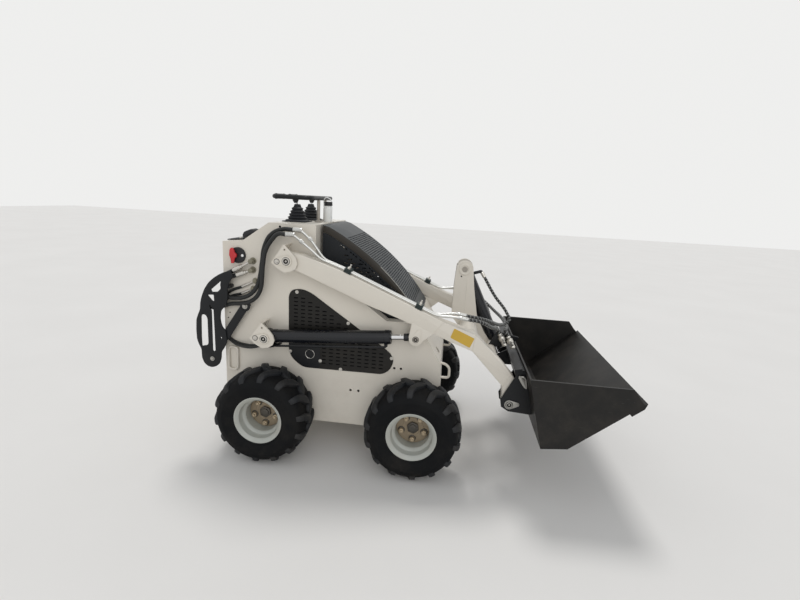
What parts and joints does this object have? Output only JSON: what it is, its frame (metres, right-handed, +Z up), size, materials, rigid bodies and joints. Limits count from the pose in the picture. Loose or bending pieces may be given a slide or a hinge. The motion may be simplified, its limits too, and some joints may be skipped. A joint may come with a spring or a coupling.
{
  "type": "skid steer loader",
  "caption": "Compact walk-behind skid steer loader with lift arms, tilt cylinder, curled bucket and lugged tyres.",
  "frame": {"origin": "on the ground under the middle of the whole machine", "axes": "+X forward to the bucket, +Y to the machine's left, +Z up"},
  "size_m": [2.0822, 1.092, 1.2775],
  "materials": {
    "white_paint": "satin",
    "black_paint": "satin",
    "rim_grey": "satin",
    "tyre": "matte",
    "zinc": "satin",
    "black_rubber": "matte",
    "white_plastic": "satin",
    "black_plastic": "matte",
    "engine_iron": "matte"
  },
  "bodies": {
    "chassis": {"side_plate_right": "white_paint", "side_plate_left": "white_paint", "nose_plate": "white_paint", "rear_panel": "white_paint", "console": "white_paint", "engine_block": "engine_iron", "vent_panels": "black_paint", "axle_housings": "black_paint", "rear_guards": "black_paint", "battery_switch": "black_plastic", "handlebar": "black_paint", "control_levers": "black_rubber", "manual_tube": "white_plastic", "tie_down_loops": "white_paint", "pivot_pins": "zinc", "lift_hoses": "black_rubber", "hose_fittings": "zinc"},
    "hood": {"hood_panel": "black_paint", "hood_skirts": "black_paint"},
    "lift_arms": {"arm_right": "white_paint", "arm_left": "white_paint", "cross_tubes": "white_paint", "tilt_post": "white_paint", "tilt_pin": "zinc", "arm_tubes": "zinc", "aux_hoses": "black_rubber", "aux_couplers": "zinc", "tube_clamps": "black_plastic"},
    "lift_cylinder_barrels": {"lift_barrels": "black_paint"},
    "lift_cylinder_rods": {"lift_rods": "zinc"},
    "tilt_cylinder_barrel": {"tilt_barrel": "black_paint"},
    "tilt_cylinder_rod": {"tilt_rod": "zinc"},
    "bucket": {"coupler_frame": "black_paint", "coupler_pins": "zinc", "bucket_shell": "black_paint", "bucket_sides": "black_paint", "cutting_edge": "black_paint"},
    "wheel_assembly_front_right": {"tyre_front_right": "tyre", "wheel_front_right": "rim_grey"},
    "wheel_assembly_front_left": {"tyre_front_left": "tyre", "wheel_front_left": "rim_grey"},
    "wheel_assembly_rear_right": {"tyre_rear_right": "tyre", "wheel_rear_right": "rim_grey"},
    "wheel_assembly_rear_left": {"tyre_rear_left": "tyre", "wheel_rear_left": "rim_grey"}
  },
  "joints": [
    {"name": "lift", "type": "hinge", "parent": "chassis", "child": "lift_arms", "pos_m": [-0.554, 0, 0.979], "axis": [0, -1, 0], "range_deg": [-8.5, 62], "deforming": ["lift_hoses"]},
    {"name": "tilt", "type": "hinge", "parent": "lift_arms", "child": "bucket", "pos_m": [0.512, 0, 0.386], "axis": [0, 1, 0], "range_deg": [0, 115]},
    {"name": "hood_hinge", "type": "hinge", "parent": "chassis", "child": "hood", "pos_m": [-0.41, 0, 1.125], "axis": [0, -1, 0], "range_deg": [0, 60]},
    {"name": "lift_barrel_swing", "type": "hinge", "parent": "chassis", "child": "lift_cylinder_barrels", "pos_m": [-0.666, 0, 0.597], "axis": [0, -1, 0], "range_deg": [-6.1, 43.9]},
    {"name": "lift_rod_slide", "type": "slide", "parent": "lift_cylinder_barrels", "child": "lift_cylinder_rods", "axis": [0.9968, 0, 0.0796], "range_m": [-0.0423, 0.3052]},
    {"name": "tilt_barrel_swing", "type": "hinge", "parent": "lift_arms", "child": "tilt_cylinder_barrel", "pos_m": [0.269, 0, 0.951], "axis": [0, -1, 0], "range_deg": [0, 3.45]},
    {"name": "tilt_rod_slide", "type": "slide", "parent": "tilt_cylinder_barrel", "child": "tilt_cylinder_rod", "axis": [0.4433, 0, -0.8963], "range_m": [0, 0.1671]},
    {"name": "wheel_spin_front_right", "type": "hinge", "parent": "chassis", "child": "wheel_assembly_front_right", "pos_m": [0.076, -0.412, 0.23], "axis": [0, 1, 0], "continuous": true},
    {"name": "wheel_spin_front_left", "type": "hinge", "parent": "chassis", "child": "wheel_assembly_front_left", "pos_m": [0.076, 0.412, 0.23], "axis": [0, 1, 0], "continuous": true},
    {"name": "wheel_spin_rear_right", "type": "hinge", "parent": "chassis", "child": "wheel_assembly_rear_right", "pos_m": [-0.653, -0.412, 0.23], "axis": [0, 1, 0], "continuous": true},
    {"name": "wheel_spin_rear_left", "type": "hinge", "parent": "chassis", "child": "wheel_assembly_rear_left", "pos_m": [-0.653, 0.412, 0.23], "axis": [0, 1, 0], "continuous": true}
  ],
  "couplings": [
    {"joint": "lift_barrel_swing", "follows": "lift", "ratio": 0.7064},
    {"joint": "lift_rod_slide", "follows": "lift", "m_per_rad": 0.2816},
    {"joint": "tilt_barrel_swing", "follows": "tilt", "ratio": 0.0291},
    {"joint": "tilt_rod_slide", "follows": "tilt", "m_per_rad": 0.083}
  ]
}
